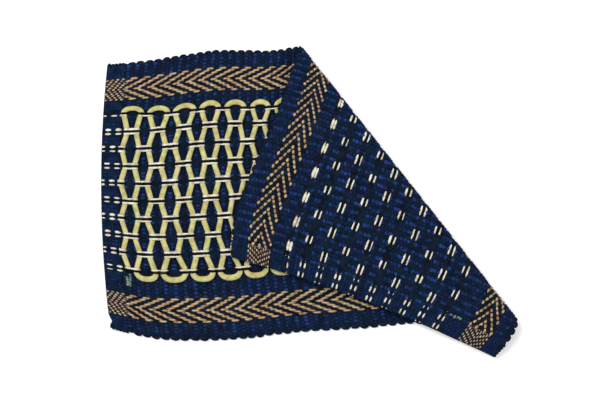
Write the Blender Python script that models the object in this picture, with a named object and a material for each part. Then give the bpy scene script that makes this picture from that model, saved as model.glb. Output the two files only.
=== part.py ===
"""Handwoven cotton placemat with a cord net on its face, folded once across a corner.

The mat is thought of flat first.  "Along" runs from its left hem to its right hem, across
the thick weft picks, and "across" runs from its near long edge to its far one.  A short
table of sections gives the flat mat the uneven outline of hand weaving.  The flat mat is
then bent about one slanting line, so that its right half lies back over its left half with
the underside up.  Everything, cloth and cord, is placed through that one bend.

Units are metres.  The mat rests on z = 0, its origin is under the middle of its outline.
"""

import math
from collections import namedtuple

import bmesh
import bpy
import numpy as np

# ---- sizes of the flat mat -------------------------------------------------------------
MAT_LENGTH = 0.456          # along, hem edge to hem edge
MAT_WIDTH = 0.300           # across, long edge to long edge
CLOTH = 0.0040              # thick rep cloth, from rib top to rib top
HEM = 0.019                 # turned hem at each end, in a fine even weave
PICKS = 95                  # thick weft picks between the hems
PICK = (MAT_LENGTH - 2 * HEM) / PICKS
RIB_DEPTH = 0.00035         # how far the groove between two picks lies below their tops
EDGE_BUMP = 0.0009          # every second pick stands out this far from the long edges
RIM = 0.0018                # width of the rounded rim of the cloth
RIM_THICKNESS = 0.6         # share of the cloth's thickness left at the very rim

# ---- the cord net ----------------------------------------------------------------------
COLUMNS = 32                # times the cord crosses the mat
PICKS_PER_COLUMN = 3
FIRST_COLUMN = HEM + PICK   # where the first crossing stands, along
TIE_ROWS = 10               # rows of ties that pinch neighbouring crossings together
TOP_TIE = 0.241             # height of the farthest row of ties, across
TOP_TIE_STEP = 0.018        # from that row to the next one
TIE_STEP = 0.0189           # between all the others
TIE_SWAY = 0.00196          # how far a crossing is pulled aside at a tie
ARCH_RISE = 0.0064          # the cord's turns past the farthest row of ties
ARCH_FALL = 0.0076          # and past the nearest row
CORD_END = 0.011            # the cord's two ends reach this far past the nearest row
CORD_GAP = 0.00055          # between the cord and the cloth it lies on
CORD_WIDTH = 0.0050
CORD_HEIGHT = 0.0031
TIE_PINCH = 0.86            # the cord is drawn in to this share where it is tied

# ---- the fold --------------------------------------------------------------------------
FOLD_TOP = (-0.0078, 0.1620)    # the fold's outermost line, seen from above
FOLD_FOOT = (0.2178, -0.1230)
BEND_RADIUS = 0.0070            # of the cloth's middle surface
FLAP_HEIGHT = 0.0137            # of the flap's middle surface where it lies on the net
SETTLE = 0.050                  # over this distance the flap comes down from the bend
BORDER = 0.040                  # the flap's cordless border, which sinks a little
BORDER_SINK = 0.0025
CORNER_SINK = 0.0080            # the free corner past the lower layer hangs this much
CORNER_REACH = 0.034
LOWER_EDGE = -0.1250            # y of the lower layer's near edge beside that corner

# The fold's line and the sections are drawn on one sheet; the model's origin is here on it.
ORIGIN = (0.0025, -0.0007)

Section = namedtuple("Section", "along far_x far_y near_x near_y bow")
SECTIONS = [                    # the ends of lines across the flat mat, and how they bow
    Section(0.000, -0.210, 0.142, -0.207, -0.134, -0.008),
    Section(0.040, -0.167, 0.147, -0.165, -0.144, -0.010),
    Section(0.110, -0.098, 0.157, -0.084, -0.146, -0.010),
    Section(0.180, -0.030, 0.158, -0.009, -0.138, -0.011),
    Section(0.235, 0.015, 0.168, 0.055, -0.134, -0.007),
    Section(0.290, 0.058, 0.172, 0.114, -0.129, -0.007),
    Section(0.360, 0.134, 0.185, 0.178, -0.134, -0.012),
    Section(0.420, 0.193, 0.191, 0.233, -0.124, -0.008),
    Section(0.456, 0.227, 0.185, 0.266, -0.107, -0.007),
]

# ---- how finely the solids are cut -----------------------------------------------------
BEND_STEPS = 6                  # the cloth's flats around the bend
CORD_STEPS = 3                  # and the cord's around half of it
CORD_BEND_REACH = 1.3           # from this many half bends before and after its middle
PLAIN_ROWS = (0.070, 0.165)     # rows of the cloth's points that every column has, across
ROW_GAP = 0.004                 # least distance between two rows of the cloth's points
PROBE = 0.0002                  # step used to find the cloth's normal
HEM_COLUMNS = (0.0, 0.1, 0.35, 0.7)     # shares of the hem that hold a column of points

CORD_SECTION = [                # (side, height) shares of the cord's width and height
    (-0.28, 0.0), (0.28, 0.0), (0.5, 0.45), (0.27, 1.0), (-0.27, 1.0), (-0.5, 0.45),
]

Finish = namedtuple("Finish", "colour roughness")
FINISHES = {
    "mat_cloth": Finish((0.012, 0.022, 0.090), 0.92),
    "inlaid_cord": Finish((0.72, 0.64, 0.24), 0.85),
}


def table_curve(values, places):
    """Smooth curve through the sections' values, read at places along the mat."""
    knots = np.array([row.along for row in SECTIONS])
    slopes = np.gradient(values, knots)
    index = np.clip(np.searchsorted(knots, places, side="right") - 1, 0, len(knots) - 2)
    span = knots[index + 1] - knots[index]
    t = (places - knots[index]) / span
    return ((2 * t**3 - 3 * t**2 + 1) * values[index]
            + (t**3 - 2 * t**2 + t) * span * slopes[index]
            + (3 * t**2 - 2 * t**3) * values[index + 1]
            + (t**3 - t**2) * span * slopes[index + 1])


def flat_place(along, across):
    """Where a point of the mat lies before it is folded."""
    def read(name):
        return table_curve(np.array([getattr(row, name) for row in SECTIONS]), along)

    share = across / MAT_WIDTH
    x = read("near_x") * (1 - share) + read("far_x") * share
    y = read("near_y") * (1 - share) + read("far_y") * share
    return x + read("bow") * 4 * share * (1 - share), y


FOLD_LENGTH = math.dist(FOLD_TOP, FOLD_FOOT)
FOLD_RUN = ((FOLD_FOOT[0] - FOLD_TOP[0]) / FOLD_LENGTH,
            (FOLD_FOOT[1] - FOLD_TOP[1]) / FOLD_LENGTH)
FOLD_OUT = (-FOLD_RUN[1], FOLD_RUN[0])      # level, square to the fold, away from the mat
HALF_BEND = BEND_RADIUS * math.pi / 2
BEND_CENTRE = -(CLOTH / 2 + BEND_RADIUS)    # from the fold's outermost line


def arc_place(along, across):
    """Distance along the cloth from the middle of the bend, and along the fold's line."""
    x, y = flat_place(along, across)
    dx, dy = x - FOLD_TOP[0], y - FOLD_TOP[1]
    out = dx * FOLD_OUT[0] + dy * FOLD_OUT[1]
    run = dx * FOLD_RUN[0] + dy * FOLD_RUN[1]
    return out - BEND_CENTRE - HALF_BEND, run


def ease(value):
    """Smooth step from 0 to 1."""
    t = np.clip(value, 0.0, 1.0)
    return t * t * (3 - 2 * t)


def middle_surface(along, across):
    """The folded cloth's middle surface, as an array of points."""
    arc, run = arc_place(along, across)
    angle = np.clip(arc, -HALF_BEND, HALF_BEND) / BEND_RADIUS
    lower = np.minimum(arc + HALF_BEND, 0.0)
    upper = np.maximum(arc - HALF_BEND, 0.0)
    out = BEND_CENTRE + BEND_RADIUS * np.cos(angle) + lower - upper
    z = CLOTH / 2 + BEND_RADIUS * (1 + np.sin(angle))
    x = FOLD_TOP[0] + out * FOLD_OUT[0] + run * FOLD_RUN[0]
    y = FOLD_TOP[1] + out * FOLD_OUT[1] + run * FOLD_RUN[1]

    come_down = ease(upper / SETTLE)
    z -= (CLOTH / 2 + 2 * BEND_RADIUS - FLAP_HEIGHT) * come_down
    border = np.maximum(ease((across - MAT_WIDTH + BORDER) / BORDER),
                        ease((along - MAT_LENGTH + HEM) / HEM))
    corner = ease((LOWER_EDGE - y) / CORNER_REACH)
    z -= ease(upper / BORDER) * np.maximum(BORDER_SINK * border, CORNER_SINK * corner)
    return np.stack([x - ORIGIN[0], y - ORIGIN[1], z], axis=-1)


def on_mat(along, across, height):
    """A point of the folded mat, at a height over its middle surface on the face side."""
    along, across, height = np.broadcast_arrays(along, across, height)
    here = middle_surface(along, across)
    d_along = middle_surface(along + PROBE, across) - middle_surface(along - PROBE, across)
    d_across = middle_surface(along, across + PROBE) - middle_surface(along, across - PROBE)
    normal = np.cross(d_along, d_across)
    normal /= np.linalg.norm(normal, axis=-1, keepdims=True)
    return here + normal * height[..., None]


def make_object(name, vertices, faces):
    """One closed, outward-facing mesh object with its own material."""
    mesh = bpy.data.meshes.new(name)
    mesh.from_pydata([tuple(v) for v in vertices], [], faces)
    shape = bmesh.new()
    shape.from_mesh(mesh)
    bmesh.ops.triangulate(shape, faces=shape.faces[:], quad_method="SHORT_EDGE")
    bmesh.ops.recalc_face_normals(shape, faces=shape.faces[:])
    shape.to_mesh(mesh)
    shape.free()
    mesh.shade_smooth()
    mesh.set_sharp_from_angle(angle=math.radians(40))
    material = bpy.data.materials.new(name)
    material.use_nodes = True
    shader = material.node_tree.nodes["Principled BSDF"]
    finish = FINISHES[name]
    shader.inputs["Base Color"].default_value = (*finish.colour, 1.0)
    shader.inputs["Roughness"].default_value = finish.roughness
    mesh.materials.append(material)
    thing = bpy.data.objects.new(name, mesh)
    bpy.context.scene.collection.objects.link(thing)
    return thing


def cloth_columns():
    """Places along the mat with a column of points, and how high a rib stands there."""
    hem = [share * HEM for share in HEM_COLUMNS]
    body = [HEM + PICK * half / 2 for half in range(2 * PICKS + 1)]
    places = hem + body + [MAT_LENGTH - place for place in reversed(hem)]
    ribs = [half % 2 for half in range(2 * PICKS + 1)]
    crest = [1] * len(hem) + ribs + [1] * len(hem)
    bumps = [(half % 4 == 1) - (half % 2 == 0) for half in range(2 * PICKS + 1)]
    bump = [0] * len(hem) + bumps + [0] * len(hem)
    return np.array(places), np.array(crest), np.array(bump)


def cloth_rows(along):
    """Places across the mat with a point, gathered where this column goes round the bend."""
    probe = np.linspace(0.0, MAT_WIDTH, 301)
    arc, _ = arc_place(np.full(probe.shape, along), probe)
    around = [HALF_BEND * (2 * step / BEND_STEPS - 1) for step in range(BEND_STEPS + 1)]
    around.append(HALF_BEND + SETTLE / 2)
    rows = [float(np.interp(target, arc, probe)) for target in around]
    rows = sorted([*rows, *PLAIN_ROWS, MAT_WIDTH - BORDER])
    for index in range(len(rows)):
        least = RIM + ROW_GAP if index == 0 else rows[index - 1] + ROW_GAP
        rows[index] = max(rows[index], least)
    for index in reversed(range(len(rows))):
        most = MAT_WIDTH - RIM if index == len(rows) - 1 else rows[index + 1]
        rows[index] = min(rows[index], most - ROW_GAP)
    return [0.0, RIM] + rows + [MAT_WIDTH - RIM, MAT_WIDTH]


def mat_cloth():
    """The whole cloth: face and back as two grids of points, joined around the rim."""
    along, crest, bump = cloth_columns()
    across = np.array([cloth_rows(place) for place in along])
    along = np.repeat(along[:, None], across.shape[1], axis=1)
    half = np.full(along.shape, CLOTH / 2)
    half[[0, -1], :] *= RIM_THICKNESS
    half[:, [0, -1]] *= RIM_THICKNESS
    groove = RIB_DEPTH * (1 - crest)[:, None]
    reach = EDGE_BUMP * bump
    across[:, 0] -= reach
    across[:, -1] += reach
    arc, _ = arc_place(along, across)
    back_ribs = ease((arc + HALF_BEND) / HALF_BEND)     # flat where the mat rests
    face = on_mat(along, across, half - groove)
    back = on_mat(along, across, groove * back_ribs - half)
    back[..., 2] = np.maximum(back[..., 2], 0.0)

    columns, rows = along.shape
    vertices = np.concatenate([face.reshape(-1, 3), back.reshape(-1, 3)])
    below = columns * rows

    def at(column, row):
        return column * rows + row

    faces = []
    for i in range(columns - 1):
        for j in range(rows - 1):
            ring = [at(i, j), at(i + 1, j), at(i + 1, j + 1), at(i, j + 1)]
            faces.append(ring)
            faces.append([below + corner for corner in reversed(ring)])
    rim = [at(i, 0) for i in range(columns)]
    rim += [at(columns - 1, j) for j in range(1, rows)]
    rim += [at(i, rows - 1) for i in reversed(range(columns - 1))]
    rim += [at(0, j) for j in reversed(range(1, rows - 1))]
    for here, there in zip(rim, rim[1:] + rim[:1]):
        faces.append([there, here, below + here, below + there])
    return make_object("mat_cloth", vertices, faces)


def tie_height(row):
    """How far across the mat a row of ties stands; row 0 is the farthest."""
    return TOP_TIE if row == 0 else TOP_TIE - TOP_TIE_STEP - TIE_STEP * (row - 1)


def cord_route():
    """The cord's one path over the face: (along, across, pinch) at each of its points."""
    route = []
    spacing = PICKS_PER_COLUMN * PICK
    rows = list(range(TIE_ROWS))
    for column in range(COLUMNS):
        middle = FIRST_COLUMN + spacing * column
        upward = column % 2 == 0
        crossing = []
        for row in reversed(rows) if upward else rows:
            towards_next = (column + row) % 2 == 1
            sway = TIE_SWAY if towards_next else -TIE_SWAY
            crossing.append((middle + sway, tie_height(row), TIE_PINCH))
        if column == 0:
            route.append((middle, tie_height(TIE_ROWS - 1) - CORD_END, 1.0))
        route += crossing
        if column == COLUMNS - 1:
            route.append((middle, tie_height(TIE_ROWS - 1) - CORD_END, 1.0))
            break
        start = crossing[-1][0]
        turn = middle + spacing / 2
        reach = turn - start
        rise = ARCH_RISE if upward else -ARCH_FALL
        for angle in (45, 90, 135):
            radians = math.radians(angle)
            route.append((turn - reach * math.cos(radians),
                          crossing[-1][1] + rise * math.sin(radians), 1.0))
    return route


def fill_in_bend(route):
    """Adds points between two of the route's where it goes round the bend."""
    filled = [route[0]]
    for last, here in zip(route, route[1:]):
        arcs, _ = arc_place(np.array([last[0], here[0]]), np.array([last[1], here[1]]))
        near = min(abs(arcs)) < CORD_BEND_REACH * HALF_BEND or arcs[0] * arcs[1] < 0
        steps = math.ceil(abs(arcs[1] - arcs[0]) / HALF_BEND * CORD_STEPS) if near else 1
        for step in range(1, steps + 1):
            t = step / steps
            filled.append(tuple(a + (b - a) * t for a, b in zip(last, here)))
    return filled


def inlaid_cord():
    """The cord, as one solid with a flat-bottomed section, laid on the cloth's face."""
    route = fill_in_bend(cord_route())
    path = np.array([(along, across) for along, across, _ in route])
    pinch = np.array([share for _, _, share in route])
    ways = np.diff(path, axis=0)
    ways /= np.linalg.norm(ways, axis=1, keepdims=True)
    ways = np.concatenate([ways[:1], ways[:-1] + ways[1:], ways[-1:]])
    ways /= np.linalg.norm(ways, axis=1, keepdims=True)
    sides = np.stack([ways[:, 1], -ways[:, 0]], axis=1)

    rings = []
    for side, height in CORD_SECTION:
        offset = (side * CORD_WIDTH * pinch)[:, None] * sides
        lift = CLOTH / 2 + CORD_GAP + height * CORD_HEIGHT * pinch
        rings.append(on_mat(path[:, 0] + offset[:, 0], path[:, 1] + offset[:, 1], lift))
    vertices = np.stack(rings, axis=1).reshape(-1, 3)

    count = len(CORD_SECTION)
    faces = [list(range(count)), list(range(len(vertices) - count, len(vertices)))]
    for ring in range(len(path) - 1):
        for k in range(count):
            here, there = ring * count + k, ring * count + (k + 1) % count
            faces.append([here, there, there + count, here + count])
    return make_object("inlaid_cord", vertices, faces)


def main():
    for thing in list(bpy.data.objects):
        bpy.data.objects.remove(thing)
    mat_cloth()
    inlaid_cord()


main()
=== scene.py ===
import math
from collections import namedtuple

import bpy
import numpy as np
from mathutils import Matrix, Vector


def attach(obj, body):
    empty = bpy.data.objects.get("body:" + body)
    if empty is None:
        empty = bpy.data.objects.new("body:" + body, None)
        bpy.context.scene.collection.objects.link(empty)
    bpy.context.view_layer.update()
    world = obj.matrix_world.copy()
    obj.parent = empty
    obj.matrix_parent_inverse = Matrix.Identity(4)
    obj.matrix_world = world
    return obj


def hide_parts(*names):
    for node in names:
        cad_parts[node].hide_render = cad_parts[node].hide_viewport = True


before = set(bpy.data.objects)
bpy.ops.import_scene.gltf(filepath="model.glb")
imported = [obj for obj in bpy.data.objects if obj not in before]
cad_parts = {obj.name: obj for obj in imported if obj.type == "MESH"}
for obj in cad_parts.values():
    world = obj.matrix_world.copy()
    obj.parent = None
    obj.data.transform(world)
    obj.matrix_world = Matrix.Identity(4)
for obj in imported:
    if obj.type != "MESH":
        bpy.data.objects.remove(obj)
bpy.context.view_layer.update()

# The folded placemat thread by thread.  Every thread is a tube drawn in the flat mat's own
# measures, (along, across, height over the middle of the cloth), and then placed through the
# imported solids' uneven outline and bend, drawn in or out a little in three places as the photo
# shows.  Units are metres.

chance = np.random.default_rng(11)      # seeded, so that every run draws the same

# ---- the flat mat and its fold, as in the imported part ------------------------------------
MAT_LENGTH = 0.456
MAT_WIDTH = 0.300
CLOTH = 0.0040              # the cloth's thickness
HEM = 0.019
PICKS = 95                  # thick picks of weft between the hems
PICK = (MAT_LENGTH - 2 * HEM) / PICKS

FOLD_TOP = (-0.0078, 0.1620)
FOLD_FOOT = (0.2178, -0.1230)
BEND_RADIUS = 0.0070
FLAP_HEIGHT = 0.0137        # the middle of the flap's cloth, over the table
SETTLE = 0.050              # the flap comes down to it within this far of the bend
BORDER = 0.040              # the flap's far border, this wide, and its hem sink a little
BORDER_SINK = 0.0025
CORNER_SINK = 0.0080        # and its free corner more, past the lower layer's near edge
CORNER_REACH = 0.034
LOWER_EDGE = -0.1250
ORIGIN = (0.0025, -0.0007)  # the middle of the folded outline, where the frame's origin is
PROBE = 0.0002              # how far to either side the surface's slopes are read

# The flat outline: the ends of a line across the mat at each place along it, and its bow.
Section = namedtuple("Section", "along far_x far_y near_x near_y bow")
SECTIONS = [
    Section(0.000, -0.210, 0.142, -0.207, -0.134, -0.008),
    Section(0.040, -0.167, 0.147, -0.165, -0.144, -0.010),
    Section(0.110, -0.098, 0.157, -0.084, -0.146, -0.010),
    Section(0.180, -0.030, 0.158, -0.009, -0.138, -0.011),
    Section(0.235, 0.015, 0.168, 0.055, -0.134, -0.007),
    Section(0.290, 0.058, 0.172, 0.114, -0.129, -0.007),
    Section(0.360, 0.134, 0.185, 0.178, -0.134, -0.012),
    Section(0.420, 0.193, 0.191, 0.233, -0.124, -0.008),
    Section(0.456, 0.227, 0.185, 0.266, -0.107, -0.007),
]

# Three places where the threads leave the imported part's surface, as the photo shows.
DENT_DEPTH = 0.0030         # the left hem's edge is drawn in beside its near corner
DENT_PLACE = 0.0100
DENT_REACH = 0.0036
FOOT_PULL = 0.0052          # the near edge is drawn in where the fold crosses it
FOOT_PLACE = 0.402
FOOT_REACH = 0.030
FOOT_FADE = 0.060           # and the cloth evens out this far in
TOP_ROW_ALONG = [0.000, 0.022, 0.046, 0.068, 0.180, 0.240]     # the farthest row of ties
TOP_ROW_DRIFT = [0.0026, 0.0022, 0.0002, -0.0015, -0.0015, 0.0]  # strays this far outwards
TOP_ROW_HALF = 0.006
TOP_ROW_FADE = 0.011

# ---- the weave -----------------------------------------------------------------------------
FINE_PICKS = 11             # fine picks in each layer of a turned hem
FINE_PICK = HEM / FINE_PICKS
HEM_LAYER = 0.00100         # the middle of each hem layer, from the middle of the cloth
SWING = 0.00142             # how far a warp swings over the thick picks
CREST_REACH = 0.13          # a crest's flat top, either side, as a share of the pick
DIVE = 0.00022              # a float's height where it goes down beside a pick
DIVE_REACH = 0.34           # which is this share of a pick from the pick's middle
BACK_DIVE_REACH = 0.37      # the same for a herringbone warp's short floats on the back
BACK_CREST_REACH = 0.18     # and their flat tops
SHOULDER = 0.92             # a herringbone float's height over its first and last pick,
FLOAT_TOP = 1.04            # and at its middle, in swings
SHOULDER_LEAN = 0.6         # the share of its lean reached over those two picks,
BACK_DIVE_LEAN = 0.7        # on the back where it dives,
BACK_CREST_LEAN = 0.4       # and there at the ends of its flat top
SELVEDGE = 0.0026           # the outermost warps begin this far in
BAND_GAP = 0.0003           # between a herringbone band and the warps beside it
WEFT_HALF = 0.00210
FINE_WEFT_HALF = 0.00080
WEFT_FLATNESS = 0.55        # its height, as a share of its width
WEFT_TURN = 0.0030          # a weft begins to turn back this far in from the long edge
FINE_WEFT_TURN = 0.0014
LOOP_LEAST = 0.45           # a weft's loop stands out by this share of its room,
LOOP_VARIES = 0.95          # and by this share times its swell,
LOOP_SWELL = (0.15, 1.0)    # which is drawn between these
LOOP_SHIFT = 0.16           # how unevenly the loops follow each other, in half picks
LOOP_SPAN = 1               # loops over which the swell is evened out
FINE_LOOP_SPAN = 3
CORNER_LOOP = 7.0           # the fine one at the far left corner swells this many times as much
LOOP_STEP = 30              # degrees from point to point of a loop
WEFT_STEPS = 76             # points of a weft across the mat
WEFT_UNEVEN = 0.12          # its width varies by the mean of so many draws of this spread
WEFT_UNEVEN_SPAN = 9

NEAR_BAND = (0.01875, 0.0448)       # where the herringbone bands lie across the mat
FAR_BAND = (0.2578, 0.2823)
BAND_ENDS = 11              # warps in a band, each over two picks of three
BAND_REPEAT = 3
SLIP_PICK = 68              # from here, under the flap, the near band's repeat is a pick late
LEAN = 0.32                 # a herringbone float leans this share of its pitch each way

# How thick a kind of warp is, in the thick picks and in a hem, and how far it swings in a hem.
# back and turned are its widths on the cloth's back and in a hem's turned layer, and neck where
# it dives, as shares of that on the face; uneven is how much its width varies; where it dips,
# its floats in a hem end short.  A ground warp's half width follows from its field's pitch.
Gauge = namedtuple("Gauge", "half_width half_height hem_width hem_height hem_swing "
                   "back turned neck uneven dips")
NAVY_GROUND = Gauge(None, 0.00046, 0.00114, 0.00034, 0.00034, 1.10, 1.0, 0.5, 0.08, False)
ROYAL_GROUND = Gauge(None, 0.00058, 0.00078, 0.00034, 0.00036, 1.30, 1.0, 0.5, 0.16, False)
BAND = Gauge(0.00110, 0.00060, 0.00100, 0.00036, 0.00048, 1.22, 0.80, 0.5, 0.06, True)
FAR_TIE = Gauge(0.00108, 0.00050, 0.00136, 0.00048, 0.00045, 0.95, 0.77, 0.15, 0.16, False)
NEAR_TIE = Gauge(0.00098, 0.00048, 0.00122, 0.00046, 0.00045, 0.82, 0.77, 0.15, 0.20, False)
NAVY_TIE = Gauge(0.00118, 0.00050, 0.00070, 0.00040, 0.00045, 1.0, 1.0, 0.3, 0.06, False)
TOP_ROW_BACK = 1.25         # the farthest row's off-white ties fill out on the back
TOP_ROW_WIDTH = 0.86        # and are thinner on the face
NEAREST_ROW_WIDTH = 0.78    # as the nearest row's is
FULLNESS = {"N": 0.98, "R": 0.86}   # a ground warp's half width, as a share of the pitch
FLAT_SHARE = 0.55           # share of a warp's thickness left where it is inside the cloth
HEM_DIP = 0.4               # a hem float that dips ends so many swings inside its layer
WANDER = 0.00035            # a warp strays by the mean of so many draws of this spread,
WANDER_SPAN = 25
JITTER = 0.00006            # and each of its rings by one more of this spread
SWELL_SPAN = 7              # rings over which its width varies
TUCK = 0.0006               # its end stands this far past the hem's inner line,
TUCK_LEVEL = -0.0004        # at this height
WRAP_IN = 0.00035           # its bend round the hem's edge stands this far in,
WRAP_ROUND = 0.00020        # the bend's two corners this much farther in,
WRAP_HALF = 0.0006          # and this far over and under the middle

TIE_ROWS = 10
TIE_FLOAT = 3               # a tie is over so many picks and then under as many
TOP_TIE = 0.241             # the farthest row
TOP_TIE_STEP = 0.018        # from it to the next one
TIE_STEP = 0.0189           # and from row to row after that
TIE_ROOM = 0.0028           # from the middle of a tie row to the ground warps beside it
TIE_SIDE = 0.0023           # the two off-white tie threads, either side of the navy one
HIDDEN_TIE_SIDE = 0.0005    # the far one of the farthest row, which shows on the back alone

# Ground warps from the near side to the far side: N is navy and R royal blue.
BORDER_ORDER = "NNNRNRNRN"          # from the near edge to the near band
INNER_ORDER = "RNRNRNRNRNRN"        # from there to the nearest tie row
EVEN_ORDER = "RNRNNNR"              # between two tie rows, by turns
ODD_ORDER = "RNRNRNN"
TOP_ORDER = "NRNRNRN"               # from the farthest tie row to the far band
FAR_ORDER = "RNRNRNRN"              # from there to the far edge

# ---- the cord net --------------------------------------------------------------------------
COLUMNS = 32                # crossings of the cord, as far apart as a tie's float is long
FIRST_COLUMN = HEM + PICK
CROSSING_STEPS = 9          # points from one tie row to the next
TIE_SWAY = 0.00264          # a tie draws each of its two cords this far aside,
SWAY_VARIES = 0.00035       # give or take this much
NEAR_SPREAD = 1.35          # the nearest row's loops open wider
NEAR_FULLNESS = 0.78        # and are fuller than half ellipses
NEAR_PLUMP = 0.14           # with the cord this much wider at their middle
ARCH_RISE = 0.0058          # how far the turns stand out of the farthest and the nearest row
ARCH_FALL = 0.0076
ARCH_STEP = 15              # degrees from point to point of a turn
CORD_HALF = 0.0026
CORD_HALF_HEIGHT = 0.00155
CORD_LEVEL = 0.00385        # the cord's middle over the cloth's middle
CORD_UNEVEN = 0.06          # its width varies by the mean of so many draws of this spread
CORD_UNEVEN_SPAN = 7
TIE_PINCH = 0.84            # share of the cord's height left under a tie
PINCH_REACH = 0.0026        # how far to either side it is pinched
PINCH_SINK = 0.0012         # the middle sinks by this times the share that is lost
TIE_SQUEEZE = 0.4           # share of the pinch by which a tie narrows the cord as well

Bend = namedtuple("Bend", "offset height")
FACE_FLOAT = [              # a tie thread over two cords, from the middle of the tie
    Bend(-0.0073, 0.0004), Bend(-0.0077, 0.0022), Bend(-0.0070, 0.0041), Bend(-0.0056, 0.0053),
    Bend(-0.0038, 0.0056), Bend(-0.0018, 0.0053), Bend(0.0, 0.0052), Bend(0.0018, 0.0053),
    Bend(0.0038, 0.0056), Bend(0.0056, 0.0053), Bend(0.0070, 0.0041), Bend(0.0077, 0.0022),
    Bend(0.0073, 0.0004),
]
ONE_CORD_FLOAT = [          # over a single cord
    Bend(-0.0034, 0.0004), Bend(-0.0034, 0.0022), Bend(-0.0027, 0.0042), Bend(-0.0013, 0.0054),
    Bend(0.0013, 0.0054), Bend(0.0027, 0.0042), Bend(0.0034, 0.0022), Bend(0.0034, 0.0004),
]
HIDDEN_FLOAT = [Bend(-0.0060, 0.0), Bend(0.0060, 0.0)]      # inside the cloth
BACK_FLOAT = [              # on the cloth's back
    Bend(-0.0059, -0.0003), Bend(-0.0044, -0.0011), Bend(-0.0018, -0.0015),
    Bend(0.0018, -0.0015), Bend(0.0044, -0.0011), Bend(0.0059, -0.0003),
]
SUNK_FLOAT = [Bend(-0.0059, -0.0002), Bend(0.0059, -0.0002)]   # under the off-white ones
BACK_DIP = [Bend(-0.0012, -0.0004), Bend(0.0012, -0.0004)]      # under one pick beside a hem

# ---- the core sheet and the tubes' sides -----------------------------------------------------
CORE_IN = (0.0012, 0.0022)  # its edges stand this far in, along and across
CORE_HALF = 0.0004
CORE_GRID = (96, 80)        # its points along and across
THREAD_SIDES = 6
WEFT_SIDES = 8
CORD_SIDES = 12


def table_curve(values, places):
    """Smooth curve through the sections' values, read at places along the mat."""
    knots = np.array([row.along for row in SECTIONS])
    slopes = np.gradient(values, knots)
    index = np.clip(np.searchsorted(knots, places, side="right") - 1, 0, len(knots) - 2)
    span = knots[index + 1] - knots[index]
    t = (places - knots[index]) / span
    return ((2 * t**3 - 3 * t**2 + 1) * values[index]
            + (t**3 - 2 * t**2 + t) * span * slopes[index]
            + (3 * t**2 - 2 * t**3) * values[index + 1]
            + (t**3 - t**2) * span * slopes[index + 1])


def flat_place(along, across):
    """Where a point of the mat lies before it is folded."""
    def read(name):
        return table_curve(np.array([getattr(row, name) for row in SECTIONS]), along)

    share = across / MAT_WIDTH
    x = read("near_x") * (1 - share) + read("far_x") * share
    y = read("near_y") * (1 - share) + read("far_y") * share
    return x + read("bow") * 4 * share * (1 - share), y


FOLD_LENGTH = math.dist(FOLD_TOP, FOLD_FOOT)
FOLD_RUN = ((FOLD_FOOT[0] - FOLD_TOP[0]) / FOLD_LENGTH,
            (FOLD_FOOT[1] - FOLD_TOP[1]) / FOLD_LENGTH)
FOLD_OUT = (-FOLD_RUN[1], FOLD_RUN[0])
HALF_BEND = BEND_RADIUS * math.pi / 2
BEND_CENTRE = -(CLOTH / 2 + BEND_RADIUS)


def ease(value):
    """Smooth step from 0 to 1."""
    t = np.clip(value, 0.0, 1.0)
    return t * t * (3 - 2 * t)


def middle_surface(along, across):
    """The folded cloth's middle surface, as an array of points."""
    x, y = flat_place(along, across)
    dx, dy = x - FOLD_TOP[0], y - FOLD_TOP[1]
    run = dx * FOLD_RUN[0] + dy * FOLD_RUN[1]
    arc = dx * FOLD_OUT[0] + dy * FOLD_OUT[1] - BEND_CENTRE - HALF_BEND
    angle = np.clip(arc, -HALF_BEND, HALF_BEND) / BEND_RADIUS
    lower = np.minimum(arc + HALF_BEND, 0.0)
    upper = np.maximum(arc - HALF_BEND, 0.0)
    out = BEND_CENTRE + BEND_RADIUS * np.cos(angle) + lower - upper
    z = CLOTH / 2 + BEND_RADIUS * (1 + np.sin(angle))
    x = FOLD_TOP[0] + out * FOLD_OUT[0] + run * FOLD_RUN[0]
    y = FOLD_TOP[1] + out * FOLD_OUT[1] + run * FOLD_RUN[1]

    z -= (CLOTH / 2 + 2 * BEND_RADIUS - FLAP_HEIGHT) * ease(upper / SETTLE)
    border = np.maximum(ease((across - MAT_WIDTH + BORDER) / BORDER),
                        ease((along - MAT_LENGTH + HEM) / HEM))
    corner = ease((LOWER_EDGE - y) / CORNER_REACH)
    z -= ease(upper / BORDER) * np.maximum(BORDER_SINK * border, CORNER_SINK * corner)
    return np.stack([x - ORIGIN[0], y - ORIGIN[1], z], axis=-1)


def on_mat(place):
    """Points of the folded mat from an array of (along, across, height)."""
    along, across, height = place[:, 0], place[:, 1], place[:, 2]
    dent = DENT_DEPTH * np.exp(-((across - DENT_PLACE) / DENT_REACH)**2)
    from_top_row = np.maximum(np.abs(across - TOP_TIE) - TOP_ROW_HALF, 0.0)
    drift = np.interp(along, TOP_ROW_ALONG, TOP_ROW_DRIFT)
    pull = FOOT_PULL * np.exp(-((along - FOOT_PLACE) / FOOT_REACH)**2)
    pull = pull * (1 - ease(across / FOOT_FADE))
    along = along + dent * np.clip(1 - along / HEM, 0, 1)**2
    across = across + drift * (1 - ease(from_top_row / TOP_ROW_FADE)) + pull
    here = middle_surface(along, across)
    d_along = middle_surface(along + PROBE, across) - middle_surface(along - PROBE, across)
    d_across = middle_surface(along, across + PROBE) - middle_surface(along, across - PROBE)
    normal = np.cross(d_along, d_across)
    normal /= np.linalg.norm(normal, axis=-1, keepdims=True)
    return here + normal * height[:, None]


# ---- tubes ---------------------------------------------------------------------------------
# A thread's middle line in the flat mat's measures, and its half width and half height along
# it.  side is the direction of its width, or None where that is across its path.
Strand = namedtuple("Strand", "path half_width half_height side")


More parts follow.
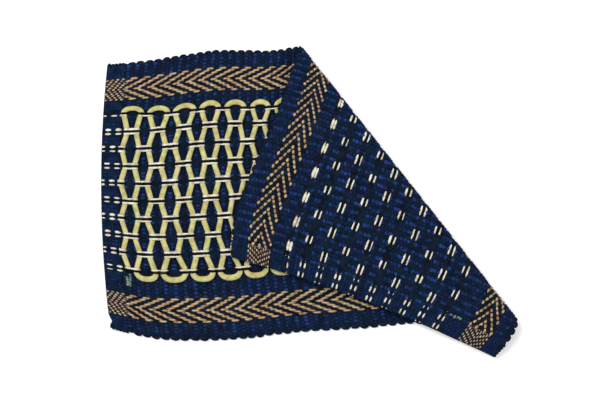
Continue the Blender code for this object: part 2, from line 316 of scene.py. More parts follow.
def quad_mesh(name, points, quads, lengthways, girthways, material):
    """One smooth mesh of four-cornered faces, with a thread's own measures as its map."""
    mesh = bpy.data.meshes.new(name)
    mesh.vertices.add(len(points))
    mesh.vertices.foreach_set("co", points.astype(np.float32).ravel())
    mesh.loops.add(quads.size)
    mesh.loops.foreach_set("vertex_index", quads.astype(np.int32).ravel())
    mesh.polygons.add(len(quads))
    mesh.polygons.foreach_set("loop_start", np.arange(0, quads.size, 4, dtype=np.int32))
    mesh.polygons.foreach_set("use_smooth", np.ones(len(quads), dtype=bool))
    mesh.update(calc_edges=True)
    measures = mesh.uv_layers.new(name="thread")
    chart = np.stack([lengthways.ravel(), girthways.ravel()], axis=1).astype(np.float32)
    measures.data.foreach_set("uv", chart.ravel())
    mesh.materials.append(material)
    thing = bpy.data.objects.new(name, mesh)
    bpy.context.scene.collection.objects.link(thing)
    return thing


def tubes(name, strands, sides, material):
    """All the strands of one kind as one mesh of closed tubes, ring after ring."""
    turn = np.arange(sides) * 2 * math.pi / sides
    here = np.arange(sides)[None, :]
    following = (here + 1) % sides
    cap = [(step, step + 1, sides - 2 - step, sides - 1 - step)
           for step in range(sides // 2 - 1)]       # the faces that close an end
    points, quads, lengths, girths = [], [], [], []
    first = 0
    for strand in strands:
        path = strand.path
        count = len(path)
        way = np.gradient(path, axis=0)
        way /= np.linalg.norm(way, axis=1, keepdims=True)
        if strand.side is None:
            side = np.stack([-way[:, 1], way[:, 0], np.zeros(count)], axis=1)
            side /= np.linalg.norm(side, axis=1, keepdims=True)
        else:
            side = np.broadcast_to(np.array(strand.side, float), path.shape)
        up = np.cross(way, side)
        up /= np.linalg.norm(up, axis=1, keepdims=True)
        across = (strand.half_width[:, None] * np.cos(turn))[:, :, None] * side[:, None]
        rise = (strand.half_height[:, None] * np.sin(turn))[:, :, None] * up[:, None]
        points.append((path[:, None] + across + rise).reshape(-1, 3))

        step = np.concatenate([[0.0], np.cumsum(np.linalg.norm(np.diff(path, axis=0), axis=1))])
        ring = np.arange(count - 1)[:, None] * sides
        body = np.stack([ring + here, ring + following, ring + sides + following,
                         ring + sides + here], axis=-1)
        quads.append(first + body.reshape(-1, 4))
        shape = (count - 1, sides)
        near = np.broadcast_to(step[:-1, None], shape)
        far = np.broadcast_to(step[1:, None], shape)
        lengths.append(np.stack([near, near, far, far], axis=-1).reshape(-1, 4))
        low = np.broadcast_to(here / sides, shape)
        high = np.broadcast_to((here + 1) / sides, shape)
        girths.append(np.stack([low, high, high, low], axis=-1).reshape(-1, 4))

        start = first + np.array([quad[::-1] for quad in cap])
        end = first + (count - 1) * sides + np.array(cap)
        for lid, place in ((start, 0.0), (end, step[-1])):
            quads.append(lid)
            lengths.append(np.full(lid.shape, place))
            girths.append(np.zeros(lid.shape))
        first += count * sides
    return quad_mesh(name, on_mat(np.concatenate(points)), np.concatenate(quads),
                     np.concatenate(lengths), np.concatenate(girths), material)


# ---- one warp's way through the cloth --------------------------------------------------------
# The thick picks count from 0.  A hem's own fine picks and then its turned layer's go on below 0
# at the left, and from PICKS at the right.
FIRST_ORDER = -2 * FINE_PICKS
LAST_ORDER = PICKS + 2 * FINE_PICKS - 1

Ring = namedtuple("Ring", "along height aside", defaults=(0.0,))


def fine_place(order):
    """(along, layer) of a fine pick; the turned layer lies under the hem's own."""
    beyond = -1 - order if order < 0 else order - PICKS
    turned = beyond >= FINE_PICKS
    inward = 2 * FINE_PICKS - 1 - beyond if turned else beyond
    along = HEM - FINE_PICK * (inward + 0.5)
    return (along if order < 0 else MAT_LENGTH - along), (-1 if turned else 1)


def hem_rings(over, orders, gauge):
    """Rings of a warp through the fine picks of one layer of a hem, in the order given."""
    step = orders[1] - orders[0]
    way = np.sign(fine_place(orders[1])[0] - fine_place(orders[0])[0])
    rings = []
    for order in orders:
        along, layer = fine_place(order)
        swing = gauge.hem_swing if over(order) else -gauge.hem_swing
        ring = Ring(along, layer * (HEM_LAYER + swing))
        if gauge.dips and over(order):
            low = layer * (HEM_LAYER - HEM_DIP * gauge.hem_swing)
            if not over(order - step):
                rings.append(Ring(along - way * DIVE_REACH * FINE_PICK, low))
            rings.append(ring)
            if not over(order + step):
                rings.append(Ring(along + way * DIVE_REACH * FINE_PICK, low))
        else:
            rings.append(ring)
    return rings


def wrapped_hem(over, left, gauge):
    """A warp from its tucked-in end round the hem's edge to the hem's inner line."""
    if left:
        turned = hem_rings(over, range(FIRST_ORDER, -FINE_PICKS), gauge)
        top = hem_rings(over, range(-FINE_PICKS, 0), gauge)
        tuck, edge, inside = HEM + TUCK, WRAP_IN, 1
        outermost, beyond = -FINE_PICKS, -FINE_PICKS - 1
    else:
        turned = hem_rings(over, range(LAST_ORDER, PICKS + FINE_PICKS - 1, -1), gauge)
        top = hem_rings(over, range(PICKS + FINE_PICKS - 1, PICKS - 1, -1), gauge)
        tuck, edge, inside = MAT_LENGTH - HEM - TUCK, MAT_LENGTH - WRAP_IN, -1
        outermost, beyond = PICKS + FINE_PICKS - 1, PICKS + FINE_PICKS
    if not over(outermost) and not over(beyond):
        # On the inner side of both outermost picks, it turns back inside them.
        edge += inside * FINE_PICK
    near = edge + inside * WRAP_ROUND
    wrap = [Ring(near, -WRAP_HALF), Ring(edge, 0.0), Ring(near, WRAP_HALF)]
    return [Ring(tuck, TUCK_LEVEL)] + turned + wrap + top


def runs(over):
    """(over, first pick, last pick) of each stretch that a warp stays on one side."""
    first = 0
    for pick in range(1, PICKS + 1):
        if pick == PICKS or over(pick) != over(first):
            yield over(first), first, pick - 1
            first = pick


def pick_middle(pick):
    """How far along the mat the middle of a thick pick lies."""
    return HEM + PICK * (pick + 0.5)


def plain_body(over):
    """Rings through the thick picks: two on each crest and one where picks meet."""
    rings = []
    for pick in range(PICKS):
        height = SWING if over(pick) else -SWING
        middle = pick_middle(pick)
        rings.append(Ring(middle - PICK / 2, 0.0))
        rings.append(Ring(middle - PICK * CREST_REACH, height))
        rings.append(Ring(middle + PICK * CREST_REACH, height))
    return rings


def float_body(over, lean):
    """Rings of a herringbone warp, whose floats lean and dive steeply at both ends."""
    rings = []
    for above, first, last in runs(over):
        start, end = pick_middle(first), pick_middle(last)
        if above:
            dive = PICK * DIVE_REACH
            rings += [Ring(start - dive, DIVE, -lean),
                      Ring(start, SWING * SHOULDER, -lean * SHOULDER_LEAN),
                      Ring((start + end) / 2, SWING * FLOAT_TOP),
                      Ring(end, SWING * SHOULDER, lean * SHOULDER_LEAN),
                      Ring(end + dive, DIVE, lean)]
        else:
            dive, crest = PICK * BACK_DIVE_REACH, PICK * BACK_CREST_REACH
            rings += [Ring(start - dive, -DIVE, -lean * BACK_DIVE_LEAN),
                      Ring(start - crest, -SWING, -lean * BACK_CREST_LEAN),
                      Ring(start + crest, -SWING, lean * BACK_CREST_LEAN),
                      Ring(start + dive, -DIVE, lean * BACK_DIVE_LEAN)]
    return rings


def slow_noise(spread, count, span):
    """Random values around 0 that change slowly, each the mean of span draws."""
    return np.convolve(chance.normal(0, spread, count + span - 1), np.ones(span) / span, "valid")


def warp_strand(body, over, across, gauge):
    """A warp with its hems, wandering a little, wider on its crests than where it dives."""
    left = wrapped_hem(over, True, gauge)
    right = wrapped_hem(over, False, gauge)[::-1]
    rings = np.array(left + body + right)
    count = len(rings)
    along, height, aside = rings.T
    wander = slow_noise(WANDER, count, WANDER_SPAN) + chance.normal(0, JITTER, count)
    path = np.stack([along, across + wander + aside, height], axis=1)

    # crest is 1 where the warp shows on either side, and 0 where it is inside the cloth.
    in_body = (along > HEM) & (along < MAT_LENGTH - HEM)
    low = np.where(in_body, 0.0, HEM_LAYER - gauge.hem_swing)
    high = np.where(in_body, SWING, HEM_LAYER + gauge.hem_swing)
    crest = np.clip((np.abs(height) - low) / (high - low), 0, 1)
    rounded = np.convolve(np.pad(crest, 1, "edge"), [0.25, 0.5, 0.25], "valid")
    crest = np.where(in_body, crest, rounded)
    width = np.where(in_body, gauge.half_width, gauge.hem_width)
    width = width * (gauge.neck + (1 - gauge.neck) * crest)
    width *= np.where(height > 0, 1.0, np.where(in_body, gauge.back, gauge.turned))
    swell = np.convolve(chance.normal(0, gauge.uneven, count + SWELL_SPAN - 1),
                        np.ones(SWELL_SPAN) / SWELL_SPAN**0.5, "valid")
    width *= 1 + np.clip(swell, -2 * gauge.uneven, 2 * gauge.uneven)
    thickness = np.where(in_body, gauge.half_height, gauge.hem_height)
    thickness = thickness * (FLAT_SHARE + (1 - FLAT_SHARE) * crest)
    return Strand(path, width, thickness, (0, 1, 0))


Zone = namedtuple("Zone", "part low high colours parity")


def ground_zones():
    """Fields of ground warps; parity tells which picks the field's first end goes over."""
    ties = tie_heights()
    zones = [Zone("border", SELVEDGE, NEAR_BAND[0] - BAND_GAP, BORDER_ORDER, 1),
             Zone("border", NEAR_BAND[1] + BAND_GAP, ties[-1] - TIE_ROOM, INNER_ORDER, 1)]
    for row in range(TIE_ROWS - 1):
        colours = EVEN_ORDER if row % 2 == 0 else ODD_ORDER
        zones.append(Zone("net", ties[row + 1] + TIE_ROOM, ties[row] - TIE_ROOM, colours, 1))
    zones.append(Zone("border", ties[0] + TIE_ROOM, FAR_BAND[0] - BAND_GAP, TOP_ORDER, 0))
    zones.append(Zone("border", FAR_BAND[1] + BAND_GAP, MAT_WIDTH - SELVEDGE, FAR_ORDER, 0))
    return zones


def tie_heights():
    """How far across the mat each row of ties stands, the farthest first."""
    return [TOP_TIE] + [TOP_TIE - TOP_TIE_STEP - TIE_STEP * row for row in range(TIE_ROWS - 1)]


def ground_warps(part, colour):
    """Plain-woven ground warps of one colour, in the borders or between the ties."""
    strands = []
    usual = ROYAL_GROUND if colour == "R" else NAVY_GROUND
    for zone in ground_zones():
        pitch = (zone.high - zone.low) / len(zone.colours)
        gauge = usual._replace(half_width=FULLNESS[colour] * pitch)
        for index, letter in enumerate(zone.colours):
            over_parity = (zone.parity + index) % 2

            def over(pick, over_parity=over_parity):
                return pick % 2 == over_parity

            if zone.part == part and letter == colour:
                across = zone.low + pitch * (index + 0.5)
                strands.append(warp_strand(plain_body(over), over, across, gauge))
    return strands


def band_warps():
    """Two-over-one herringbone warps, stepping one pick an end from each band's middle."""
    strands = []
    middle = BAND_ENDS // 2
    for low, high in (NEAR_BAND, FAR_BAND):
        pitch = (high - low) / BAND_ENDS
        for index in range(BAND_ENDS):
            step = abs(index - middle)
            outermost = step == middle
            lean = 0.0 if outermost else LEAN * pitch * np.sign(index - middle)

            def over(pick, step=step, slips=low == NEAR_BAND[0]):
                slip = 1 if slips and pick >= SLIP_PICK else 0
                return (pick - step - slip) % BAND_REPEAT != 1

            across = low + pitch * (index + 0.5)
            strands.append(warp_strand(float_body(over, lean), over, across, BAND))
    return strands


def tie_over(row):
    """The test of whether a tie warp of that row is over a pick; rows take turns."""
    shift = 1 if row % 2 else 1 + TIE_FLOAT
    hem_turn = 0 if row % 2 else 1

    def over(pick):
        if pick < 0:
            return ((-1 - pick) // TIE_FLOAT) % 2 == hem_turn
        if pick >= PICKS:
            return ((pick - PICKS) // TIE_FLOAT) % 2 == hem_turn
        return (pick - shift) % (2 * TIE_FLOAT) < TIE_FLOAT

    return over


def never_over(pick):
    """The same test for a tie warp that stays under the fine picks of the hems."""
    return False


def tie_body(over, hidden=False, back=BACK_FLOAT):
    """Rings of a tie warp through the thick picks; hidden, it shows on the back alone."""
    rings = []
    for above, first, last in runs(over):
        middle = (pick_middle(first) + pick_middle(last)) / 2
        single = last == first
        if above and hidden:
            profile = HIDDEN_FLOAT[:1] if single else HIDDEN_FLOAT
        elif above and single:
            inside = 1 if first == 0 else -1
            middle += inside * (PICK / 2 - TIE_SWAY)
            profile = ONE_CORD_FLOAT
        elif above:
            profile = FACE_FLOAT
        else:
            profile = BACK_DIP if single else back
        rings += [Ring(middle + bend.offset, bend.height) for bend in profile]
    return rings


def cream_ties():
    """Two off-white warps a row; one of the first row and one of the last stay under."""
    strands = []
    for row, across in enumerate(tie_heights()):
        over = tie_over(row)
        near_hidden = row == TIE_ROWS - 1
        near, far = NEAR_TIE, FAR_TIE
        if row == 0:
            back = TOP_ROW_BACK / TOP_ROW_WIDTH
            near = near._replace(half_width=near.half_width * TOP_ROW_WIDTH, back=back)
            far = far._replace(half_width=far.half_width * TOP_ROW_WIDTH, back=back)
        elif near_hidden:
            far = far._replace(half_width=far.half_width * NEAREST_ROW_WIDTH)
        strands.append(warp_strand(tie_body(over, near_hidden), over, across - TIE_SIDE, near))
        if row == 0:
            strands.append(warp_strand(tie_body(over, True), never_over,
                                       across + HIDDEN_TIE_SIDE, far))
        else:
            strands.append(warp_strand(tie_body(over), over, across + TIE_SIDE, far))
    return strands


def navy_ties():
    """The dark warp in the middle of each row of ties."""
    strands = []
    for row, across in enumerate(tie_heights()):
        over = tie_over(row)
        body = tie_body(over, back=SUNK_FLOAT if row == 0 else BACK_FLOAT)
        strands.append(warp_strand(body, over, across, NAVY_TIE))
    return strands


# ---- wefts -----------------------------------------------------------------------------------
def serpentine(places, half_width, turn, level, loop_span, first_loop=1.0):
    """One weft going back and forth at these places along the mat, in uneven loops."""
    path = []
    upward = True
    swells = np.convolve(chance.uniform(*LOOP_SWELL, len(places) + loop_span - 1),
                         np.ones(loop_span) / loop_span, "valid")
    swells[0] *= first_loop
    shifts = chance.normal(0, LOOP_SHIFT, len(places))
    for index, along in enumerate(places):
        run = np.linspace(turn, MAT_WIDTH - turn, WEFT_STEPS)
        if not upward:
            run = run[::-1]
        path += [(along, across, level) for across in run]
        if index + 1 < len(places):
            ahead = places[index + 1]
            reach = (ahead - along) / 2
            middle = (along + ahead) / 2 + reach * shifts[index]
            bulge = (turn - half_width) * (LOOP_LEAST + LOOP_VARIES * swells[index])
            for angle in range(LOOP_STEP, 180, LOOP_STEP):
                radians = math.radians(angle)
                offset = bulge * math.sin(radians)
                across = MAT_WIDTH - turn + offset if upward else turn - offset
                path.append((middle - reach * math.cos(radians), across, level))
        upward = not upward
    uneven = 1 + slow_noise(WEFT_UNEVEN, len(path), WEFT_UNEVEN_SPAN)
    thickness = np.full(len(path), half_width * WEFT_FLATNESS)
    return Strand(np.array(path), half_width * uneven, thickness, None)


def weft_strands():
    """The thick weft between the hems."""
    places = [pick_middle(pick) for pick in range(PICKS)]
    return [serpentine(places, WEFT_HALF, WEFT_TURN, 0.0, LOOP_SPAN)]


def hem_weft_strands():
    """A fine weft in each layer of each hem."""
    strands = []
    for start in (0.0, MAT_LENGTH - HEM):
        for layer in (-HEM_LAYER, HEM_LAYER):
            places = [start + FINE_PICK * (pick + 0.5) for pick in range(FINE_PICKS)]
            first_loop = CORNER_LOOP if start == 0.0 else 1.0
            strands.append(serpentine(places, FINE_WEFT_HALF, FINE_WEFT_TURN, layer,
                                      FINE_LOOP_SPAN, first_loop))
    return strands


# ---- the cord --------------------------------------------------------------------------------
def cord_strand():
    """The net's one cord, from its first crossing to its last."""
    ties = tie_heights()[::-1]
    spacing = TIE_FLOAT * PICK
    path, pinch, plump = [], [], []
    for column in range(COLUMNS):
        middle = FIRST_COLUMN + spacing * column
        upward = column % 2 == 0
        rows = reversed(range(TIE_ROWS))
        sways = [TIE_SWAY if (column + row) % 2 else -TIE_SWAY for row in rows]
        sways = np.array(sways) + chance.normal(0, SWAY_VARIES, TIE_ROWS)
        sways[0] *= NEAR_SPREAD
        across = np.linspace(ties[0], ties[-1], CROSSING_STEPS * (TIE_ROWS - 1) + 1)
        sway = np.interp(across, ties, sways)
        sway[1:-1] = (sway[:-2] + 2 * sway[1:-1] + sway[2:]) / 4
        nearest = np.min(np.abs(across[:, None] - np.array(ties)[None, :]), axis=1)
        tight = 1 - (1 - TIE_PINCH) * np.exp(-(nearest / PINCH_REACH)**2)
        crossing = np.stack([middle + sway, across], axis=1)
        if not upward:
            crossing, tight = crossing[::-1], tight[::-1]
        path += [tuple(place) for place in crossing]
        pinch += list(tight)
        plump += [1.0] * len(tight)
        if column + 1 < COLUMNS:
            turn = middle + spacing / 2
            reach = turn - crossing[-1][0]
            rise, fullness = (ARCH_RISE, 1.0) if upward else (-ARCH_FALL, NEAR_FULLNESS)
            for angle in range(ARCH_STEP, 180, ARCH_STEP):
                radians = math.radians(angle)
                back = math.copysign(abs(math.cos(radians))**fullness, math.cos(radians))
                path.append((turn - reach * back, crossing[-1][1] + rise * math.sin(radians)))
                pinch.append(1 - (1 - TIE_PINCH) * (1 - math.sin(radians))**2)
                plump.append(1.0 if upward else 1 + NEAR_PLUMP * math.sin(radians))
    path, pinch = np.array(path), np.array(pinch)
    level = CORD_LEVEL - (1 - pinch) * PINCH_SINK
    uneven = 1 + slow_noise(CORD_UNEVEN, len(path), CORD_UNEVEN_SPAN)
    width = CORD_HALF * (1 - TIE_SQUEEZE * (1 - pinch)) * uneven * np.array(plump)
    return Strand(np.column_stack([path, level]), width, CORD_HALF_HEIGHT * pinch, None)


# The cord's ends, opened into yarns that show in beads between the ground warps: the first end
# on the face, the last on the back.  A yarn runs from start to end across the mat.
Fray = namedtuple("Fray", "along start end bead half_width side")
FRAYS = [
    Fray(0.0232, 0.0645, 0.0540, 0.0029, 0.0022, 1),
    Fray(0.0264, 0.0680, 0.0535, 0.0022, 0.0015, 1),
    Fray(0.4340, 0.0668, 0.0636, 0.0032, 0.0012, -1),
    Fray(0.4346, 0.0630, 0.0594, 0.0036, 0.0021, -1),
    Fray(0.4336, 0.0590, 0.0535, 0.0028, 0.0018, -1),
]
BEAD_STEPS = 4              # points from bead to bead
BEAD_MEAN = 0.62            # a bead's fullness in its middle and between beads is this
BEAD_SWING = 0.38           # plus and minus this
FRAY_STRAY = 0.00015        # how far a yarn strays from point to point
FRAY_LEVEL = 0.0014         # its thin places lie a little over this, over the cloth's middle,
FRAY_RISE = 0.0005          # and its full places as much higher as they are fuller
FRAY_HALF_HEIGHT = 0.0005


def frayed_ends():
    """The yarns of the cord's opened ends, full and thin by turns."""
    strands = []
    for fray in FRAYS:
        beads = round((fray.start - fray.end) / fray.bead)
        across = np.linspace(fray.start, fray.end, BEAD_STEPS * beads + 1)
        turn = 2 * math.pi * np.arange(len(across)) / BEAD_STEPS
        fullness = BEAD_MEAN - BEAD_SWING * np.cos(turn)
        along = fray.along + np.cumsum(chance.normal(0, FRAY_STRAY, len(across)))
        level = fray.side * (FRAY_LEVEL + FRAY_RISE * fullness)
        strands.append(Strand(np.column_stack([along, across, level]),
                              fray.half_width * fullness, FRAY_HALF_HEIGHT * fullness, None))
    return strands


# ---- materials -------------------------------------------------------------------------------
# deep, usual and bright are a yarn's tones, cool and warm tint them; patch is the scale of its
# uneven dyeing, per metre, and ply, in metres, sets how long its twist is.
WHITE = (1, 1, 1)
TONE_STOPS = (0.36, 0.50, 0.66)     # where on the noise its deep, usual and bright tones lie
TINT_STOPS = (0.38, 0.50, 0.62)     # where its cool tint, none and its warm tint lie
TINT_SCALE = 90.0
TINT_SHARE = 0.55
FIBRE_SCALE = 2600.0                # single fibres, with painted shade in the gaps between them
FIBRE_STOPS = (0.30, 0.60)
FIBRE_GAP_SHADE = (0.45, 0.45, 0.45)
FIBRE_SHADE_SHARE = 0.30
FIBRE_RELIEF = 0.6                  # against the twist's own relief
RELIEF_STRENGTH = 0.45
RELIEF_DEPTH = 0.00018

Yarn = namedtuple("Yarn", "name deep usual bright cool warm patch ply sheen")
YARNS = {
    "royal": Yarn("royal_blue_cotton", (0.005, 0.011, 0.034), (0.009, 0.024, 0.085),
                  (0.017, 0.043, 0.195), (0.5, 1.0, 0.85), (1.0, 0.75, 1.0),
                  190.0, 0.0016, 0.01),
    "border_royal": Yarn("dull_royal_blue_cotton", (0.005, 0.011, 0.032), (0.008, 0.020, 0.068),
                         (0.014, 0.036, 0.155), (0.5, 1.0, 0.85), (1.0, 0.75, 1.0),
                         190.0, 0.0016, 0.01),
    "navy": Yarn("navy_cotton", (0.0035, 0.008, 0.020), (0.005, 0.0115, 0.033),
                 (0.0065, 0.016, 0.047), (0.5, 1.0, 0.85), (1.0, 0.75, 1.0),
                 160.0, 0.0016, 0.01),
    "weft": Yarn("dark_weft_cotton", (0.0034, 0.0062, 0.0110), (0.0050, 0.0095, 0.0180),
                 (0.0075, 0.0135, 0.0290), (0.6, 1.0, 0.9), (1.0, 0.8, 0.9),
                 120.0, 0.0030, 0.01),
    "hem_weft": Yarn("hem_cotton", (0.003, 0.006, 0.015), (0.0045, 0.0115, 0.030),
                     (0.007, 0.018, 0.050), (0.5, 1.0, 0.85), (1.0, 0.8, 1.0),
                     200.0, 0.0012, 0.01),
    "tan": Yarn("tan_cotton", (0.210, 0.115, 0.056), (0.380, 0.252, 0.138),
                (0.480, 0.365, 0.240), (0.9, 1.0, 0.78), (1.0, 0.86, 0.80),
                260.0, 0.0014, 0.05),
    "cream": Yarn("off_white_cotton", (0.420, 0.370, 0.270), (0.600, 0.560, 0.450),
                  (0.680, 0.660, 0.580), (0.92, 1.0, 0.9), (1.0, 0.94, 0.94),
                  220.0, 0.0014, 0.05),
    "tie_navy": Yarn("tie_navy_cotton", (0.002, 0.003, 0.007), (0.003, 0.0045, 0.011),
                     (0.005, 0.008, 0.020), (0.7, 1.0, 0.9), (1.0, 0.8, 0.9),
                     160.0, 0.0014, 0.01),
    "cord": Yarn("pale_yellow_cotton", (0.350, 0.310, 0.115), (0.440, 0.400, 0.165),
                 (0.500, 0.470, 0.240), (0.9, 1.0, 0.85), (1.0, 0.94, 0.90),
                 200.0, 0.0040, 0.05),
    "frayed": Yarn("frayed_cotton", (0.060, 0.085, 0.075), (0.150, 0.190, 0.150),
                   (0.260, 0.300, 0.240), (0.8, 1.0, 0.9), (1.0, 0.9, 1.0),
                   400.0, 0.0012, 0.02),
}


def ramp_of(tree, source, places, colours):
    """A colour ramp read by source, with these colours at these places."""
    ramp = tree.nodes.new("ShaderNodeValToRGB")
    elements = ramp.color_ramp.elements
    while len(elements) < len(places):
        elements.new(0.5)
    for element, place, colour in zip(elements, places, colours):
        element.position = place
        element.color = (*colour, 1)
    tree.links.new(source, ramp.inputs["Fac"])
    return ramp.outputs["Color"]


def noise(tree, vector, scale, detail):
    """A noise from 0 to 1, its scale per metre."""
    grain = tree.nodes.new("ShaderNodeTexNoise")
    grain.inputs["Scale"].default_value = scale
    grain.inputs["Detail"].default_value = detail
    tree.links.new(vector, grain.inputs["Vector"])
    return grain.outputs["Fac"]


def multiplied(tree, base, tint, share):
    """The base colour multiplied by the tint, as far as share says."""
    mix = tree.nodes.new("ShaderNodeMix")
    mix.data_type = "RGBA"
    mix.blend_type = "MULTIPLY"
    mix.inputs["Factor"].default_value = share
    tree.links.new(base, mix.inputs["A"])
    tree.links.new(tint, mix.inputs["B"])
    return mix.outputs["Result"]


def yarn_material(yarn):
    """Cotton yarn: its colour shifts from stretch to stretch, its fibres lie in a twist with
    painted shade between them.
    """
    material = bpy.data.materials.new(yarn.name)
    material.use_nodes = True
    tree = material.node_tree
    shader = tree.nodes["Principled BSDF"]
    shader.inputs["Roughness"].default_value = 0.85
    shader.inputs["Sheen Weight"].default_value = yarn.sheen
    shader.inputs["Sheen Roughness"].default_value = 0.6
    shader.inputs["Specular IOR Level"].default_value = 0.01

    place = tree.nodes.new("ShaderNodeTexCoord").outputs["Object"]
    tone = ramp_of(tree, noise(tree, place, yarn.patch, detail=3.0), TONE_STOPS,
                   (yarn.deep, yarn.usual, yarn.bright))
    tint = ramp_of(tree, noise(tree, place, TINT_SCALE, detail=1.0), TINT_STOPS,
                   (yarn.cool, WHITE, yarn.warm))
    fibre = noise(tree, place, FIBRE_SCALE, detail=4.0)
    # painted shade: the fibre noise darkens the colour in the gaps between single fibres
    shade = ramp_of(tree, fibre, FIBRE_STOPS, (FIBRE_GAP_SHADE, WHITE))
    dyed = multiplied(tree, tone, tint, TINT_SHARE)
    tree.links.new(multiplied(tree, dyed, shade, FIBRE_SHADE_SHARE), shader.inputs["Base Color"])

    chart = tree.nodes.new("ShaderNodeUVMap")
    chart.uv_map = "thread"
    slant = tree.nodes.new("ShaderNodeMapping")
    slant.inputs["Scale"].default_value = (1 / yarn.ply, 1.0, 1.0)
    tree.links.new(chart.outputs["UV"], slant.inputs["Vector"])
    plies = tree.nodes.new("ShaderNodeTexWave")
    plies.wave_type = "BANDS"
    plies.bands_direction = "DIAGONAL"
    plies.inputs["Scale"].default_value = 1.0
    plies.inputs["Distortion"].default_value = 0.6
    tree.links.new(slant.outputs["Vector"], plies.inputs["Vector"])
    relief = tree.nodes.new("ShaderNodeMath")
    relief.operation = "MULTIPLY_ADD"
    relief.inputs[1].default_value = FIBRE_RELIEF
    tree.links.new(fibre, relief.inputs[0])
    tree.links.new(plies.outputs["Fac"], relief.inputs[2])
    bump = tree.nodes.new("ShaderNodeBump")
    bump.inputs["Strength"].default_value = RELIEF_STRENGTH
    bump.inputs["Distance"].default_value = RELIEF_DEPTH
    tree.links.new(relief.outputs["Value"], bump.inputs["Height"])
    tree.links.new(bump.outputs["Normal"], shader.inputs["Normal"])
    return material


def core_mesh(material):
    """The closed inner sheet that the threads lie round, thinner than the cloth."""
    columns, rows = CORE_GRID
    along = np.linspace(CORE_IN[0], MAT_LENGTH - CORE_IN[0], columns)
    across = np.linspace(CORE_IN[1], MAT_WIDTH - CORE_IN[1], rows)
    grid = np.stack(np.meshgrid(along, across, indexing="ij"), axis=-1).reshape(-1, 2)
    face = np.column_stack([grid, np.full(len(grid), CORE_HALF)])
    back = np.column_stack([grid, np.full(len(grid), -CORE_HALF)])
    below = len(grid)
    quads = []
    for column in range(columns - 1):
        for row in range(rows - 1):
            here = column * rows + row
            there = here + rows
            quads.append((here, there, there + 1, here + 1))
            quads.append((below + here, below + here + 1, below + there + 1, below + there))
    rim = [column * rows for column in range(columns)]
    rim += [(columns - 1) * rows + row for row in range(1, rows)]
    rim += [column * rows + rows - 1 for column in reversed(range(columns - 1))]
    rim += list(reversed(range(1, rows - 1)))
    for here, there in zip(rim, rim[1:] + rim[:1]):
        quads.append((there, here, below + here, below + there))
    quads = np.array(quads)
    points = on_mat(np.concatenate([face, back]))
    chart = np.zeros(quads.shape)
    return quad_mesh("woven_ground", points, quads, chart, chart, material)


# ---- stage -----------------------------------------------------------------------------------
FLOOR_REACH = 3.0
FLOOR_LEVEL = -0.0004
FLOOR_COLOUR = (0.93, 0.93, 0.93, 1)
DAYLIGHT = 0.75
Lamp = namedtuple("Lamp", "name place size power")      # metres and watts
LAMPS = [
    Lamp("key", (-0.7, 0.7, 1.5), 0.9, 26.0),
    Lamp("fill", (0.9, -0.6, 1.4), 1.4, 9.0),
]
SENSOR = 36.0               # millimetres
VIEW_MIDDLE = (-0.01135, 0.0012)    # the camera stands over this place
VIEW_LEVEL = 0.006          # the height at which the photo's frame is VIEW_WIDTH wide
VIEW_WIDTH = 0.625
VIEW_DISTANCE = 1.5


def pale_floor():
    """The plain floor, not attached to the object's body."""
    mesh = bpy.data.meshes.new("floor")
    corners = [(x * FLOOR_REACH, y * FLOOR_REACH, FLOOR_LEVEL)
               for x, y in ((-1, -1), (1, -1), (1, 1), (-1, 1))]
    mesh.from_pydata(corners, [], [(0, 1, 2, 3)])
    floor = bpy.data.objects.new("floor", mesh)
    bpy.context.scene.collection.objects.link(floor)
    pale = bpy.data.materials.new("pale_floor")
    pale.use_nodes = True
    shader = pale.node_tree.nodes["Principled BSDF"]
    shader.inputs["Base Color"].default_value = FLOOR_COLOUR
    shader.inputs["Roughness"].default_value = 0.9
    mesh.materials.append(pale)


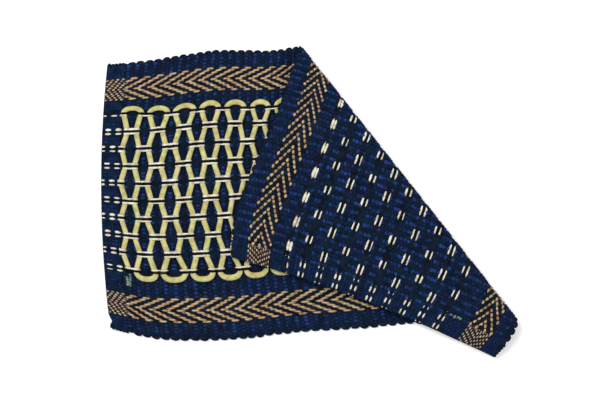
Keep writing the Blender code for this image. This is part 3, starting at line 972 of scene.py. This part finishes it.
def studio_light():
    """Even white light from all round, a soft key lamp and a weak fill."""
    world = bpy.data.worlds.new("studio")
    bpy.context.scene.world = world
    world.use_nodes = True
    background = world.node_tree.nodes["Background"]
    background.inputs["Color"].default_value = (*WHITE, 1)
    background.inputs["Strength"].default_value = DAYLIGHT
    for lamp in LAMPS:
        light = bpy.data.lights.new(lamp.name, "AREA")
        light.energy = lamp.power
        light.size = lamp.size
        thing = bpy.data.objects.new(lamp.name, light)
        bpy.context.scene.collection.objects.link(thing)
        thing.location = lamp.place
        aim = -np.array(lamp.place)
        thing.rotation_mode = "QUATERNION"
        thing.rotation_quaternion = Vector(aim).to_track_quat("-Z", "Y")


def overhead_camera():
    """The photo's view, straight down on the mat."""
    camera = bpy.data.cameras.new("camera")
    camera.sensor_width = SENSOR
    camera.lens = SENSOR * VIEW_DISTANCE / VIEW_WIDTH
    eye = bpy.data.objects.new("camera", camera)
    bpy.context.scene.collection.objects.link(eye)
    eye.location = (*VIEW_MIDDLE, VIEW_DISTANCE + VIEW_LEVEL)
    bpy.context.scene.camera = eye
    bpy.context.scene.view_settings.view_transform = "Standard"


def main():
    """The core sheet, the threads round it, the cord net and the stage."""
    looks = {key: yarn_material(yarn) for key, yarn in YARNS.items()}

    def threads_of(name, strands, look, sides=THREAD_SIDES):
        return tubes(name, strands, sides, looks[look])

    core = core_mesh(looks["weft"])
    threads = [
        threads_of("weft", weft_strands(), "weft", WEFT_SIDES),
        threads_of("hem_weft", hem_weft_strands(), "hem_weft"),
        threads_of("border_royal_warps", ground_warps("border", "R"), "border_royal"),
        threads_of("border_navy_warps", ground_warps("border", "N"), "navy"),
        threads_of("net_royal_warps", ground_warps("net", "R"), "royal"),
        threads_of("net_navy_warps", ground_warps("net", "N"), "navy"),
        threads_of("tan_warps", band_warps(), "tan"),
        threads_of("off_white_ties", cream_ties(), "cream"),
        threads_of("navy_ties", navy_ties(), "tie_navy"),
        threads_of("frayed_ends", frayed_ends(), "frayed"),
    ]
    net = threads_of("cord_net", [cord_strand()], "cord", CORD_SIDES)

    for thing in [core, net] + threads:
        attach(thing, "root")
    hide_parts("mat_cloth")
    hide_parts("inlaid_cord")

    pale_floor()
    studio_light()
    overhead_camera()


main()
bpy.context.view_layer.update()
